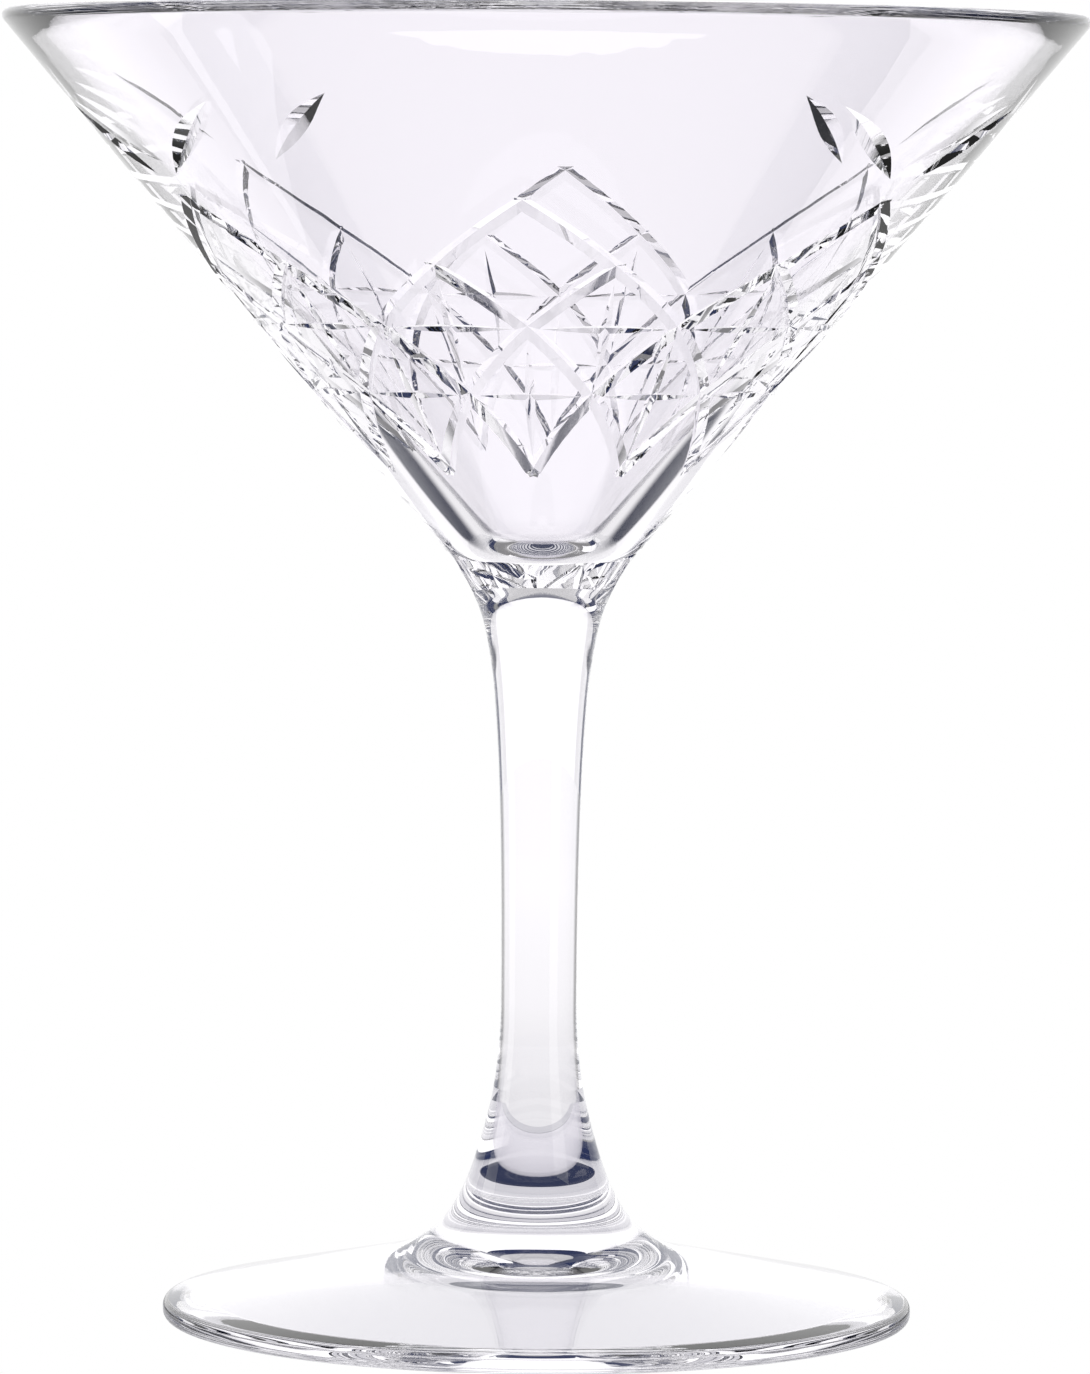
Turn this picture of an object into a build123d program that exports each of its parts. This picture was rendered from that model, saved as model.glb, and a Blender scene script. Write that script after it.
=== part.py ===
from build123d import *
import math
import os

# Stemmed cocktail glass in pressed clear glass: a conical bowl, a drawn-in stem and a flared foot.
# The three pieces are pressed separately and fused hot, end face to end face.
# Millimetres, +Z up. The origin is the centre of the foot, on the surface that it stands on.

# Overall sizes
overall_height = 142.5
rim_diameter = 118.0
foot_diameter = 81.8

# The two fused seams: stem on foot, and bowl on stem
lower_seam_height = 24.0
lower_seam_diameter = 10.3
upper_seam_height = 83.2
upper_seam_diameter = 19.6

# Bowl: a cone with a fully rounded rim, a wall that thickens downwards and a round dish inside
rim_wall = 1.7
wall_taper_angle = 2.5
bowl_floor_thickness = 1.6

# Stem: narrowest at the waist, then a long swell that turns out into the neck under the bowl
waist_diameter = 8.26
waist_above_lower_seam = 10.5
swell_end_below_upper_seam = 6.2
neck_diameter = 12.4
neck_below_upper_seam = 5.7

# Foot: a trumpet that flattens into a shallow cone, with a rounded edge
trumpet_diameter = 16.5
trumpet_below_lower_seam = 13.0
plate_inner_diameter = 38.0
plate_inner_height = 6.6
plate_blend_length = 8.5
edge_height = 2.1
edge_rounding = 0.9

# Underside of the foot: a flat ring to stand on, around a hollow that follows the plate's slope
rest_ring_inset = 3.9
hollow_height = 6.0
hollow_edge_length = 22.0
hollow_centre_length = 8.0


# The bowl's half section. The outer cone leaves the seam and touches the rim's round.
rim_round = rim_wall / 2
rim_centre_radius = rim_diameter / 2 - rim_round
rim_centre_height = overall_height - rim_round
seam_to_rim_out = rim_centre_radius - upper_seam_diameter / 2
seam_to_rim_up = rim_centre_height - upper_seam_height
seam_to_rim = math.hypot(seam_to_rim_out, seam_to_rim_up)
outer_slope = math.atan2(seam_to_rim_up, seam_to_rim_out) - math.asin(rim_round / seam_to_rim)
inner_slope = outer_slope - math.radians(wall_taper_angle)
tip_slope = (outer_slope + inner_slope) / 2

rim_outside = (
    rim_centre_radius + rim_round * math.sin(outer_slope),
    rim_centre_height - rim_round * math.cos(outer_slope),
)
rim_tip = (
    rim_centre_radius + rim_round * math.cos(tip_slope),
    rim_centre_height + rim_round * math.sin(tip_slope),
)
rim_inside = (
    rim_centre_radius - rim_round * math.sin(inner_slope),
    rim_centre_height + rim_round * math.cos(inner_slope),
)

# The dish is the ball that touches the inner cone all round and leaves the floor its thickness.
floor_height = upper_seam_height + bowl_floor_thickness
inner_apex_height = rim_inside[1] - rim_inside[0] * math.tan(inner_slope)
dish_radius = (floor_height - inner_apex_height) * math.cos(inner_slope) / (1 - math.cos(inner_slope))
dish_top = (
    dish_radius * math.sin(inner_slope),
    floor_height + dish_radius * (1 - math.cos(inner_slope)),
)

with BuildPart() as bowl:
    with BuildSketch(Plane.XZ):
        with BuildLine():
            Polyline((0, floor_height), (0, upper_seam_height), (upper_seam_diameter / 2, upper_seam_height))
            Line((upper_seam_diameter / 2, upper_seam_height), rim_outside)
            ThreePointArc(rim_outside, rim_tip, rim_inside)
            Line(rim_inside, dish_top)
            TangentArc((0, floor_height), dish_top, tangent=(1, 0))
        make_face()
    revolve(axis=Axis.Z)
bowl.part.label = "bowl"


# The stem's half section. Its side is upright at the waist, and both ends are flat for the seams.
waist = (waist_diameter / 2, lower_seam_height + waist_above_lower_seam)
swell_end = (waist_diameter / 2, upper_seam_height - swell_end_below_upper_seam)
neck = (neck_diameter / 2, upper_seam_height - neck_below_upper_seam)
stem_top_edge = (upper_seam_diameter / 2, upper_seam_height)
stem_bottom_edge = (lower_seam_diameter / 2, lower_seam_height)

with BuildPart() as stem:
    with BuildSketch(Plane.XZ):
        with BuildLine():
            Polyline(stem_top_edge, (0, upper_seam_height), (0, lower_seam_height), stem_bottom_edge)
            TangentArc(waist, stem_bottom_edge, tangent=(0, -1))
            Bezier(waist, swell_end, neck, stem_top_edge)
        make_face()
    revolve(axis=Axis.Z)
stem.part.label = "stem"


# The foot's half section. The trumpet meets the plate along the plate's own slope.
plate_slope = math.atan2(plate_inner_height - edge_height, (foot_diameter - plate_inner_diameter) / 2)
trumpet = (trumpet_diameter / 2, lower_seam_height - trumpet_below_lower_seam)
plate_inner = (plate_inner_diameter / 2, plate_inner_height)
plate_blend = (
    plate_inner_diameter / 2 - plate_blend_length * math.cos(plate_slope),
    plate_inner_height + plate_blend_length * math.sin(plate_slope),
)
edge_top = (foot_diameter / 2, edge_height)
edge_bottom = (foot_diameter / 2, 0)
rest_ring_inner_radius = foot_diameter / 2 - rest_ring_inset
rest_ring_inner = (rest_ring_inner_radius, 0)
hollow_edge = (
    rest_ring_inner_radius - hollow_edge_length * math.cos(plate_slope),
    hollow_edge_length * math.sin(plate_slope),
)
hollow_centre = (hollow_centre_length, hollow_height)

with BuildPart() as foot:
    with BuildSketch(Plane.XZ) as foot_section:
        with BuildLine():
            Polyline((0, hollow_height), (0, lower_seam_height), stem_bottom_edge)
            Bezier(stem_bottom_edge, trumpet, plate_blend, plate_inner)
            Polyline(plate_inner, edge_top, edge_bottom, rest_ring_inner)
            Bezier(rest_ring_inner, hollow_edge, hollow_centre, (0, hollow_height))
        make_face()
        edge_corners = foot_section.vertices().group_by(Axis.X)[-1]
        fillet(edge_corners, radius=edge_rounding)
    revolve(axis=Axis.Z)
foot.part.label = "foot"


os.makedirs("parts", exist_ok=True)
export_step(bowl.part, "parts/bowl.step")
export_step(stem.part, "parts/stem.step")
export_step(foot.part, "parts/foot.step")
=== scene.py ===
import math

import bmesh
import bpy
from mathutils import Matrix, Vector


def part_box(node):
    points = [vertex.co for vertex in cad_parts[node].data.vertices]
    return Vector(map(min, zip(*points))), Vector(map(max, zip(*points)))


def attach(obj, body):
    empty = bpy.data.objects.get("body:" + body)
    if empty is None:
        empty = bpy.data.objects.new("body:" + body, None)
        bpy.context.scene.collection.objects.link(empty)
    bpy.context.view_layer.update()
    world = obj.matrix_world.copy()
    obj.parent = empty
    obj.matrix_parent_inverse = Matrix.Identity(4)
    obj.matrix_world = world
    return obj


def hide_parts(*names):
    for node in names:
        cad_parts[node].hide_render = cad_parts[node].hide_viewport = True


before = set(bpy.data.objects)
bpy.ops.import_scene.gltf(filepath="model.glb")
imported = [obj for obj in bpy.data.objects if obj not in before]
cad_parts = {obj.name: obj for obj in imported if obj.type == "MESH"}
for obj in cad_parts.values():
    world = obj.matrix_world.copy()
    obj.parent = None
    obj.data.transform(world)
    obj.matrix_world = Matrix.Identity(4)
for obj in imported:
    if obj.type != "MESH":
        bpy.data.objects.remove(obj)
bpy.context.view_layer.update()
scene = bpy.context.scene

# ---------------------------------------------------------------------------
# The bowl: clear soda-lime glass, pressed in a mould to a cone whose wall thickens downwards.
# Its lip is melted round in a flame, and a flat disc under it is fused to the stem.
# A band of mitre cuts runs round the outside: a lattice of grooves that rises to six arches.
# ---------------------------------------------------------------------------
MM = 0.001
RIM_WALL = 1.7
WALL_TAPER = math.radians(2.5)
FLOOR_THICKNESS = 1.6
BOWL_STEPS = 360
CREASE_ANGLE = math.radians(20)

rim_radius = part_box("bowl")[1].x / MM
overall_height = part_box("bowl")[1].z / MM
lower_seam_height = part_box("stem")[0].z / MM
upper_seam_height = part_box("stem")[1].z / MM
upper_seam_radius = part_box("stem")[1].x / MM


def arc(centre, radius, start, end, count):
    """Points on an arc in the half section, from one angle to the other, both ends included."""
    points = []
    for i in range(count + 1):
        angle = start + (end - start) * i / count
        points.append((centre[0] + radius * math.cos(angle), centre[1] + radius * math.sin(angle)))
    return points


def straight(start, end, count):
    """Points on a line in the half section, both ends included."""
    return [Vector(start).lerp(Vector(end), i / count)[:] for i in range(count + 1)]


def turned(name, outline, steps):
    """A solid of revolution from its closed half section, whose first and last points are on the axis."""
    shape = bmesh.new()
    points = []
    for radius, height in outline:
        points.append(shape.verts.new((radius * MM, 0, height * MM)))
    edges = [shape.edges.new(pair) for pair in zip(points, points[1:])]
    bmesh.ops.spin(shape, geom=points + edges, cent=(0, 0, 0), axis=(0, 0, 1), angle=math.tau, steps=steps,
                   use_merge=True)
    bmesh.ops.remove_doubles(shape, verts=shape.verts, dist=0.002 * MM)
    bmesh.ops.recalc_face_normals(shape, faces=shape.faces)
    mesh = bpy.data.meshes.new(name)
    shape.to_mesh(mesh)
    shape.free()
    piece = bpy.data.objects.new(name, mesh)
    scene.collection.objects.link(piece)
    return piece


def crease(piece):
    """Smooth shading, with every edge sharper than the crease angle left crisp."""
    shape = bmesh.new()
    shape.from_mesh(piece.data)
    for face in shape.faces:
        face.smooth = True
    for edge in shape.edges:
        edge.smooth = len(edge.link_faces) == 2 and edge.calc_face_angle() < CREASE_ANGLE
    shape.to_mesh(piece.data)
    shape.free()


rim_round = RIM_WALL / 2
rim_centre = (rim_radius - rim_round, overall_height - rim_round)
across = rim_centre[0] - upper_seam_radius
up = rim_centre[1] - upper_seam_height
outer_slope = math.atan2(up, across) - math.asin(rim_round / math.hypot(across, up))
inner_slope = outer_slope - WALL_TAPER
rim = arc(rim_centre, rim_round, outer_slope - math.pi / 2, inner_slope + math.pi / 2, 20)

bowl_floor = upper_seam_height + FLOOR_THICKNESS
inner_apex = rim[-1][1] - rim[-1][0] * math.tan(inner_slope)
dish_radius = (bowl_floor - inner_apex) * math.cos(inner_slope) / (1 - math.cos(inner_slope))
dish = arc((0, bowl_floor + dish_radius), dish_radius, inner_slope - math.pi / 2, -math.pi / 2, 20)

bowl_outline = [(0, upper_seam_height), (upper_seam_radius, upper_seam_height)]
bowl_outline += straight(bowl_outline[-1], rim[0], 30)[1:-1]
bowl_outline += rim
bowl_outline += straight(rim[-1], dish[0], 24)[1:-1]
bowl_outline += dish
bowl = turned("bowl_cut_glass", bowl_outline, BOWL_STEPS)

# The cuts. Angles go round from the front, towards +X, and each groove is a V run along the cone.
LATTICE_HEIGHTS = (93.5, 101.6, 108.8, 115.2, 122.0)
COLUMNS = 12
COLUMN = math.tau / COLUMNS
PATTERN_TURN = math.radians(-3.2)
V_HALF_ANGLE = math.radians(61)
GROOVE_DEPTH = 0.50
GROOVE_RISE = 0.05
TIP_RISE = 0.02
CUTTER_CLEARANCE = 1.0


def on_cone(angle, height):
    """The outside of the bowl at this angle and height: the place, and which way is out."""
    radius = upper_seam_radius + (height - upper_seam_height) / math.tan(outer_slope)
    out = Vector((math.sin(angle), -math.cos(angle), 0))
    place = out * radius + Vector((0, 0, height))
    outward = out * math.sin(outer_slope) - Vector((0, 0, math.cos(outer_slope)))
    return place, outward


def v_cut(shape, route, depths):
    """Adds a V-edged cutter that follows a route of (angle, height) at these depths, in millimetres."""
    places = [on_cone(*stop) for stop in route]
    rings = []
    for i, (place, outward) in enumerate(places):
        ahead = places[min(i + 1, len(places) - 1)][0]
        behind = places[max(i - 1, 0)][0]
        side = outward.cross(ahead - behind).normalized()
        reach = math.tan(V_HALF_ANGLE) * (depths[i] + CUTTER_CLEARANCE)
        corners = (place - outward * depths[i], place + outward * CUTTER_CLEARANCE + side * reach,
                   place + outward * CUTTER_CLEARANCE - side * reach)
        rings.append([shape.verts.new(corner * MM) for corner in corners])
    for one, two in zip(rings, rings[1:]):
        for j in range(3):
            k = (j + 1) % 3
            shape.faces.new((one[j], one[k], two[k], two[j]))
    shape.faces.new(reversed(rings[0]))
    shape.faces.new(rings[-1])


def groove(stops, steps=6, run_out=0.6):
    """A groove of even depth through these stops, with both ends lifted clear."""
    route = []
    for one, two in zip(stops, stops[1:]):
        route += [Vector(one).lerp(Vector(two), i / steps)[:] for i in range(steps)]
    route.append(tuple(stops[-1]))
    depths = [GROOVE_DEPTH] * len(route)
    first = Vector(route[0]) - (Vector(route[1]) - Vector(route[0])) * run_out
    last = Vector(route[-1]) + (Vector(route[-1]) - Vector(route[-2])) * run_out
    return [first[:]] + route + [last[:]], [-GROOVE_RISE] + depths + [-GROOVE_RISE]


def leaf(start, end, depth, steps=12):
    """A cut that is deepest halfway and comes out to a point at both ends, as a wheel leaves it."""
    route = [Vector(start).lerp(Vector(end), i / steps)[:] for i in range(steps + 1)]
    depths = [depth * math.sin(math.pi * i / steps) - TIP_RISE for i in range(steps + 1)]
    return route, depths


def cut(piece, name, cuts):
    """Takes a set of cutters that don't meet each other out of the piece."""
    shape = bmesh.new()
    for route, depths in cuts:
        v_cut(shape, route, depths)
    bmesh.ops.recalc_face_normals(shape, faces=shape.faces)
    mesh = bpy.data.meshes.new(name)
    shape.to_mesh(mesh)
    shape.free()
    tool = bpy.data.objects.new(name, mesh)
    scene.collection.objects.link(tool)
    taking_out = piece.modifiers.new(name, "BOOLEAN")
    taking_out.operation = "DIFFERENCE"
    taking_out.solver = "MANIFOLD"
    taking_out.object = tool
    bpy.context.view_layer.update()
    result = bpy.data.meshes.new_from_object(piece.evaluated_get(bpy.context.evaluated_depsgraph_get()))
    piece.modifiers.clear()
    piece.data = result
    bpy.data.objects.remove(tool)


for lean in (1, -1):
    grooves = []
    for column in range(COLUMNS):
        levels = LATTICE_HEIGHTS if column % 2 == 0 else LATTICE_HEIGHTS[:-1]
        stops = []
        for level, height in enumerate(levels):
            stops.append((PATTERN_TURN + column * COLUMN + lean * level * COLUMN / 2, height))
        grooves.append(groove(stops))
    cut(bowl, "lattice_wheel", grooves)

STAR_DEPTH = 0.32
STAR_GAP = 1.3
STAR_SHARE = 0.84
flat_arms = []
upright_arms = []
for column in range(COLUMNS):
    for level in (1, 2):
        middle = PATTERN_TURN + (column + (level - 1) / 2) * COLUMN
        height = LATTICE_HEIGHTS[level]
        below = LATTICE_HEIGHTS[level - 1] + STAR_GAP
        above = LATTICE_HEIGHTS[level + 1] - STAR_GAP
        reach = COLUMN / 2 * STAR_SHARE
        flat_arms.append(leaf((middle - reach, height), (middle + reach, height), STAR_DEPTH))
        upright_arms.append(leaf((middle, below), (middle, above), STAR_DEPTH))
cut(bowl, "star_wheel_flat", flat_arms)
cut(bowl, "star_wheel_upright", upright_arms)

# Two leaves at each of the four side arches. A leaf's ends are (angle from the arch's peak, height).
LEAF_DEPTH = 0.75
SIDE_LEAF = ((math.radians(3), 124.7), (math.radians(20), 132.3))
BACK_LEAF = ((math.radians(9.2), 122.7), (math.radians(25.2), 130.3))
leaves = []
for arch, lean, ends in ((-1, 1, SIDE_LEAF), (-1, -1, SIDE_LEAF), (1, 1, SIDE_LEAF), (1, -1, SIDE_LEAF),
                         (-2, 1, SIDE_LEAF), (-2, -1, BACK_LEAF), (2, 1, BACK_LEAF), (2, -1, SIDE_LEAF)):
    peak = PATTERN_TURN + arch * 2 * COLUMN
    low, high = [(peak + lean * turn, height) for turn, height in ends]
    leaves.append(leaf(low, high, LEAF_DEPTH))
cut(bowl, "leaf_wheel", leaves)
crease(bowl)


def linear(hex_colour):
    """An sRGB hex colour as the linear RGBA that the shaders take."""
    channels = [int(hex_colour[i:i + 2], 16) / 255 for i in (1, 3, 5)]
    return [c / 12.92 if c <= 0.04045 else ((c + 0.055) / 1.055) ** 2.4 for c in channels] + [1.0]


def add(tree, kind, settings=None, links=None):
    """Adds a node with its settings, the values of its own sockets, and the links into it."""
    node = tree.nodes.new(kind)
    for key, value in (settings or {}).items():
        if isinstance(key, int) or key in node.inputs:
            node.inputs[key].default_value = value
        else:
            setattr(node, key, value)
    for key, source in (links or {}).items():
        tree.links.new(source, node.inputs[key])
    return node


def new_material(name):
    """An empty material and its node tree."""
    material = bpy.data.materials.new(name)
    material.use_nodes = True
    material.node_tree.nodes.clear()
    return material, material.node_tree


GLASS_COLOUR = "#FBF9FD"
GLASS_IOR = 1.52
MOULD_WAVE = 9.0
WAVE_DEPTH = 0.4
WAVE_STRENGTH = 0.02


def pressed_glass(name):
    """Clear soda-lime glass, pressed and fire polished: very smooth, with the faint waves of the mould."""
    material, tree = new_material(name)
    place = add(tree, "ShaderNodeTexCoord")
    waves = add(tree, "ShaderNodeTexNoise", {"Scale": 1 / (MOULD_WAVE * MM), "Detail": 2.0},
                {"Vector": place.outputs["Object"]})
    bump = add(tree, "ShaderNodeBump", {"Strength": WAVE_STRENGTH, "Distance": WAVE_DEPTH * MM},
               {"Height": waves.outputs[0]})
    glass = add(tree, "ShaderNodeBsdfPrincipled",
                {"Base Color": linear(GLASS_COLOUR), "Roughness": 0.0, "IOR": GLASS_IOR,
                 "Transmission Weight": 1.0},
                {"Normal": bump.outputs["Normal"]})
    add(tree, "ShaderNodeOutputMaterial", links={"Surface": glass.outputs["BSDF"]})
    return material


def fused_seam(name):
    """Where two pieces are melted together there is glass on both sides, so light goes straight on."""
    material, tree = new_material(name)
    through = add(tree, "ShaderNodeBsdfTransparent")
    add(tree, "ShaderNodeOutputMaterial", links={"Surface": through.outputs["BSDF"]})
    return material


SEAM_TOLERANCE = 0.001
SEAM_LEVEL = 0.99


def finish_glass(piece, node, seam_heights):
    """Gives a piece its glass, marks its fused ends, and puts it in place of its CAD node."""
    piece.data.materials.clear()
    piece.data.materials.append(clear_glass)
    piece.data.materials.append(melted_seam)
    for face in piece.data.polygons:
        face.material_index = 0
        for height in seam_heights:
            if abs(face.center.z - height * MM) < SEAM_TOLERANCE * MM and abs(face.normal.z) > SEAM_LEVEL:
                face.material_index = 1
    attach(piece, "root")
    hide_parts(node)


clear_glass = pressed_glass("pressed_soda_lime_glass")
melted_seam = fused_seam("melted_glass_seam")
finish_glass(bowl, "bowl", [upper_seam_height])

# ---------------------------------------------------------------------------
# The stem: a solid rod of the same glass, drawn while hot, so it is slimmest at the waist.
# It swells slowly upwards and turns out into the neck under the bowl. Both ends are fused.
# ---------------------------------------------------------------------------
LOWER_SEAM_RADIUS = 5.15
WAIST_RADIUS = 4.13
WAIST_RISE = 10.5
SWELL_END_DROP = 6.2
NECK_RADIUS = 6.2
NECK_DROP = 5.7
STEM_STEPS = 192


def curve(points, count):
    """Points on the cubic curve with these four control points, both ends included."""
    a, b, c, d = [Vector(point) for point in points]
    line = []
    for i in range(count + 1):
        t = i / count
        line.append((a * (1 - t) ** 3 + b * 3 * t * (1 - t) ** 2 + c * 3 * t * t * (1 - t) + d * t ** 3)[:])
    return line


waist_height = lower_seam_height + WAIST_RISE
flare_out = LOWER_SEAM_RADIUS - WAIST_RADIUS
flare_radius = (WAIST_RISE ** 2 + flare_out ** 2) / (2 * flare_out)
flare_turn = math.asin(WAIST_RISE / flare_radius)
flare = arc((WAIST_RADIUS + flare_radius, waist_height), flare_radius, math.pi + flare_turn, math.pi, 12)
swell = curve([(WAIST_RADIUS, waist_height), (WAIST_RADIUS, upper_seam_height - SWELL_END_DROP),
               (NECK_RADIUS, upper_seam_height - NECK_DROP), (upper_seam_radius, upper_seam_height)], 60)
stem_outline = [(0, lower_seam_height)] + flare + swell[1:] + [(0, upper_seam_height)]
stem = turned("stem_drawn_glass", stem_outline, STEM_STEPS)
crease(stem)
finish_glass(stem, "stem", [lower_seam_height, upper_seam_height])

# ---------------------------------------------------------------------------
# The foot: a disc of the same glass, pressed with a trumpet that the stem is fused to.
# Its edge is melted round. It stands on a flat ring, and is hollow inside that, along the plate's slope.
# ---------------------------------------------------------------------------
TRUMPET_RADIUS = 8.25
TRUMPET_DROP = 13.0
PLATE_INNER_RADIUS = 19.0
PLATE_INNER_HEIGHT = 6.6
PLATE_BLEND = 8.5
EDGE_HEIGHT = 2.1
EDGE_ROUND = 0.9
REST_RING_INNER_RADIUS = 37.0
HOLLOW_HEIGHT = 6.0
HOLLOW_EDGE = 22.0
HOLLOW_CENTRE = 8.0
FOOT_STEPS = 256

foot_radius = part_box("foot")[1].x / MM
plate_slope = math.atan2(PLATE_INNER_HEIGHT - EDGE_HEIGHT, foot_radius - PLATE_INNER_RADIUS)
plate_blend = (PLATE_INNER_RADIUS - PLATE_BLEND * math.cos(plate_slope),
               PLATE_INNER_HEIGHT + PLATE_BLEND * math.sin(plate_slope))
trumpet = curve([(LOWER_SEAM_RADIUS, lower_seam_height), (TRUMPET_RADIUS, lower_seam_height - TRUMPET_DROP),
                 plate_blend, (PLATE_INNER_RADIUS, PLATE_INNER_HEIGHT)], 40)
edge_x = foot_radius - EDGE_ROUND
corner = EDGE_ROUND * math.tan((math.pi / 2 - plate_slope) / 2)
top_round = arc((edge_x, EDGE_HEIGHT - corner), EDGE_ROUND, math.pi / 2 - plate_slope, 0, 8)
bottom_round = arc((edge_x, EDGE_ROUND), EDGE_ROUND, 0, -math.pi / 2, 8)
plate = straight((PLATE_INNER_RADIUS, PLATE_INNER_HEIGHT), top_round[0], 12)
hollow_edge = (REST_RING_INNER_RADIUS - HOLLOW_EDGE * math.cos(plate_slope),
               HOLLOW_EDGE * math.sin(plate_slope))
hollow = curve([(REST_RING_INNER_RADIUS, 0), hollow_edge,
                (HOLLOW_CENTRE, HOLLOW_HEIGHT), (0, HOLLOW_HEIGHT)], 48)
foot_outline = [(0, lower_seam_height)] + trumpet + plate[1:] + top_round[1:] + bottom_round + hollow
foot = turned("foot_pressed_glass", foot_outline, FOOT_STEPS)
crease(foot)
finish_glass(foot, "foot", [lower_seam_height])

# ---------------------------------------------------------------------------
# The stage: a white table and white surroundings. Clear glass shows only what it bends into view, so
# out of the camera's sight it has a lit sweep behind, two narrow ones, dim walls, painted dim light and
# painted shadow under the foot, and two soft dark cards in mid-air by the neck.
# They draw the bowl's dark lines.
# ---------------------------------------------------------------------------
TABLE_RADIUS = 6.0
STUDIO_RADIUS = 3.0
STUDIO_HEIGHT = 4.0
SWEEP_RADIUS = 2.5
SWEEP_FOOT = -0.1
SWEEP_EDGE = 0.5
SWEEP_SOFTNESS = 0.12
FOOT_SHADE = 0.010
FULL_LIGHT_DISTANCE = 0.6
LIGHT_RISE = 0.35
NEAR_LIGHT = 0.74
FAR_LIGHT = 1.12
DARK = 0.12
SPOT_SOFTNESS = 0.45


def even_light(name, colour, strength):
    """An even surface that gives off light, as a light table, a lit wall or a softbox does."""
    material, tree = new_material(name)
    light = add(tree, "ShaderNodeEmission", {"Color": linear(colour), "Strength": strength})
    add(tree, "ShaderNodeOutputMaterial", links={"Surface": light.outputs[0]})
    return material


def lit_from_behind(name):
    """A white table lit by the sweep: brightest far off towards +Y, dimmer near the foot, dark elsewhere."""
    material, tree = new_material(name)
    place = add(tree, "ShaderNodeTexCoord")
    distance = add(tree, "ShaderNodeVectorMath", {"operation": "LENGTH"}, {0: place.outputs["Object"]})
    split = add(tree, "ShaderNodeSeparateXYZ", links={0: place.outputs["Object"]})
    reach = add(tree, "ShaderNodeMath", {"operation": "ADD", 1: FOOT_SHADE}, {0: distance.outputs["Value"]})
    heading = add(tree, "ShaderNodeMath", {"operation": "DIVIDE"},
                  {0: split.outputs["Y"], 1: reach.outputs[0]})
    edge = {"From Min": SWEEP_EDGE - SWEEP_SOFTNESS, "From Max": SWEEP_EDGE + SWEEP_SOFTNESS}
    behind = add(tree, "ShaderNodeMapRange", {"interpolation_type": "SMOOTHSTEP", **edge},
                 {"Value": heading.outputs[0]})
    share = add(tree, "ShaderNodeMath", {"operation": "DIVIDE", 1: FULL_LIGHT_DISTANCE, "use_clamp": True},
                {0: distance.outputs["Value"]})
    rising = add(tree, "ShaderNodeMath", {"operation": "POWER", 1: LIGHT_RISE}, {0: share.outputs[0]})
    back_light = add(tree, "ShaderNodeMapRange", {"To Min": NEAR_LIGHT, "To Max": FAR_LIGHT},
                     {"Value": rising.outputs[0]})
    strength = add(tree, "ShaderNodeMapRange", {"To Min": DARK * 2},
                   {"Value": behind.outputs[0], "To Max": back_light.outputs[0]})
    light = add(tree, "ShaderNodeEmission", {"Color": linear("#FFFFFF")}, {"Strength": strength.outputs[0]})
    add(tree, "ShaderNodeOutputMaterial", links={"Surface": light.outputs[0]})
    return material


def dark_spot(name, colour, strength, centre, size, turn):
    """Dark in the middle and fading to nothing at the edge of this oval, so it leaves no hard outline."""
    material, tree = new_material(name)
    place = add(tree, "ShaderNodeTexCoord")
    oval = add(tree, "ShaderNodeMapping",
               {"vector_type": "TEXTURE", "Location": centre, "Rotation": (0, 0, turn),
                "Scale": (size[0] / 2, size[1] / 2, 1)}, {"Vector": place.outputs["Object"]})
    middle = add(tree, "ShaderNodeTexGradient", {"gradient_type": "SPHERICAL"}, {"Vector": oval.outputs[0]})
    fade = add(tree, "ShaderNodeMapRange", {"interpolation_type": "SMOOTHSTEP", "From Max": SPOT_SOFTNESS},
               {"Value": middle.outputs["Fac"]})
    through = add(tree, "ShaderNodeBsdfTransparent")
    dark = add(tree, "ShaderNodeEmission", {"Color": linear(colour), "Strength": strength})
    mix = add(tree, "ShaderNodeMixShader",
              links={0: fade.outputs[0], 1: through.outputs[0], 2: dark.outputs[0]})
    add(tree, "ShaderNodeOutputMaterial", links={"Surface": mix.outputs[0]})
    return material


def staged(name, shape, material):
    """Puts a finished shape on the stage."""
    mesh = bpy.data.meshes.new(name)
    shape.to_mesh(mesh)
    shape.free()
    piece = bpy.data.objects.new(name, mesh)
    scene.collection.objects.link(piece)
    piece.data.materials.append(material)
    return piece


def disc(name, radius, height, material):
    """A round table top or ceiling."""
    shape = bmesh.new()
    bmesh.ops.create_circle(shape, cap_ends=True, radius=radius, segments=96)
    bmesh.ops.translate(shape, verts=shape.verts, vec=(0, 0, height))
    return staged(name, shape, material)


def turned_sheet(name, outline, start, end, material):
    """A sheet turned from one compass angle to the other, in degrees from +Y towards +X."""
    shape = bmesh.new()
    points = [shape.verts.new((0, distance, height)) for distance, height in outline]
    edges = [shape.edges.new(pair) for pair in zip(points, points[1:])]
    to_start = Matrix.Rotation(math.radians(-start), 3, "Z")
    bmesh.ops.rotate(shape, verts=points, cent=(0, 0, 0), matrix=to_start)
    bmesh.ops.spin(shape, geom=points + edges, cent=(0, 0, 0), axis=(0, 0, 1),
                   angle=math.radians(start - end), steps=32)
    return staged(name, shape, material)


def card(name, centre, size, turn, material):
    """A small level card, turned round its middle."""
    shape = bmesh.new()
    bmesh.ops.create_grid(shape, x_segments=1, y_segments=1, size=0.5)
    bmesh.ops.scale(shape, verts=shape.verts, vec=(size[0], size[1], 1))
    bmesh.ops.rotate(shape, verts=shape.verts, cent=(0, 0, 0), matrix=Matrix.Rotation(turn, 3, "Z"))
    bmesh.ops.translate(shape, verts=shape.verts, vec=centre)
    return staged(name, shape, material)


def only_in_glass(piece):
    """The camera doesn't see this, but the glass reflects and bends it."""
    piece.visible_camera = False
    piece.visible_shadow = False
    return piece


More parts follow.
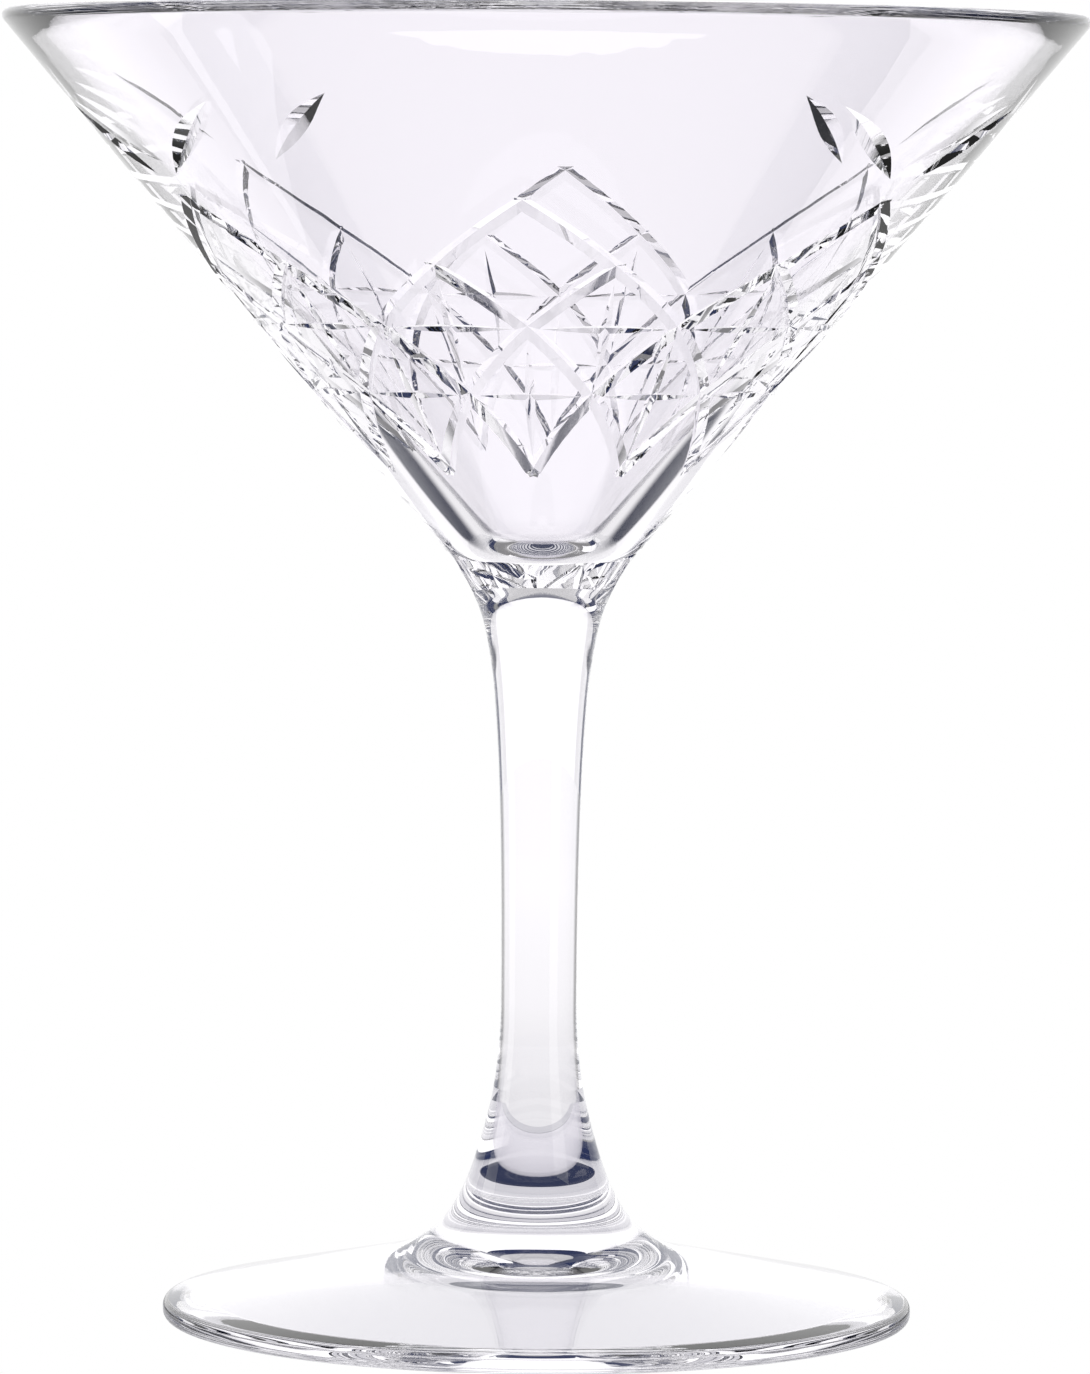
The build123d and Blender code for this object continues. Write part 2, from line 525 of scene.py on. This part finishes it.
table = disc("table", TABLE_RADIUS, 0, even_light("lit_opal_table", "#FFFFFF", 1.0))
table.visible_transmission = False
table.visible_glossy = False
only_in_glass(disc("table_seen_in_glass", TABLE_RADIUS, -0.0002, lit_from_behind("white_table")))
# Painted dim light: an even glowing ring under the foot, dimmer than the far table behind it and brighter
# than the dark table in front.
only_in_glass(disc("painted_dim_light_under_foot", 0.048, -0.0001, even_light("painted_dim_light", "#FBFBFF", 0.72)))
# Painted shadow: a small, dim, bluish glowing disc in the foot's hollow that stands for the shade under the
# foot's middle.
only_in_glass(disc("painted_shadow_under_foot", 0.0095, 0.0025, even_light("painted_shadow", "#8A98D0", 0.14)))
wall = [(STUDIO_RADIUS, SWEEP_FOOT), (STUDIO_RADIUS, STUDIO_HEIGHT)]
only_in_glass(turned_sheet("studio_walls", wall, 0, 360, even_light("dim_walls", "#8096E8", DARK)))
dim_ceiling = even_light("dim_ceiling", "#FFFFFF", 0.6)
only_in_glass(disc("studio_ceiling", STUDIO_RADIUS, STUDIO_HEIGHT, dim_ceiling))

# The sweeps: each one's top, its start and end on the compass, and its light.
sweep_light = even_light("lit_sweep", "#FFFFFF", 1.24)
edge_light = even_light("lit_sweep_edge", "#FFFFFF", 1.0)
for name, top, start, end, light in (("back_sweep", 2.4, -44, 44, sweep_light),
                                     ("back_sweep_left", 2.0, -62, -44, edge_light),
                                     ("back_sweep_right", 2.0, 44, 62, edge_light)):
    only_in_glass(turned_sheet(name, [(SWEEP_RADIUS, SWEEP_FOOT), (SWEEP_RADIUS, top)], start, end, light))
narrow_sweep = [(0.12, -0.0001), (SWEEP_RADIUS, -0.0001), (SWEEP_RADIUS, 1.5)]
only_in_glass(turned_sheet("left_sweep", narrow_sweep, -102, -78, sweep_light))
only_in_glass(turned_sheet("front_sweep", narrow_sweep, 122, 148, sweep_light))

CARD_SIZE = (0.044, 0.017)
CARD_CENTRE = (0.0235, 0.0155, 0.078)
CARD_TURN = math.radians(33)
for side, name in ((-1, "dark_card_left"), (1, "dark_card_right")):
    centre = (side * CARD_CENTRE[0], CARD_CENTRE[1], CARD_CENTRE[2])
    turn = side * CARD_TURN
    soft_dark = dark_spot(name, "#7088E0", 0.06, centre, CARD_SIZE, turn)
    only_in_glass(card(name, centre, CARD_SIZE, turn, soft_dark))

world = bpy.data.worlds.new("white_surroundings")
world.use_nodes = True
world.node_tree.nodes["Background"].inputs["Color"].default_value = linear("#FFFFFF")
world.node_tree.nodes["Background"].inputs["Strength"].default_value = 1.0
scene.world = world
world.cycles_visibility.glossy = False
world.cycles_visibility.transmission = False
scene.view_settings.view_transform = "Standard"
scene.cycles.max_bounces = 32
scene.cycles.transmission_bounces = 32
scene.cycles.glossy_bounces = 16
scene.cycles.transparent_max_bounces = 32

# ---------------------------------------------------------------------------
# The camera: a long lens a little below the rim, aimed at the middle of the glass.
# ---------------------------------------------------------------------------
CAMERA_DISTANCE = 0.822
CAMERA_HEIGHT = 0.125
AIM = Vector((0.0004, 0, 0.0692))
LENS = 198.0
SENSOR_WIDTH = 36.0
ROLL = math.radians(0.46)

camera = bpy.data.objects.new("camera", bpy.data.cameras.new("camera"))
scene.collection.objects.link(camera)
camera.data.lens = LENS
camera.data.sensor_width = SENSOR_WIDTH
camera.location = (AIM.x, -CAMERA_DISTANCE, CAMERA_HEIGHT)
camera.rotation_mode = "QUATERNION"
looking = (AIM - camera.location).to_track_quat("-Z", "Y")
camera.rotation_quaternion = looking @ Matrix.Rotation(ROLL, 3, "Z").to_quaternion()
scene.camera = camera
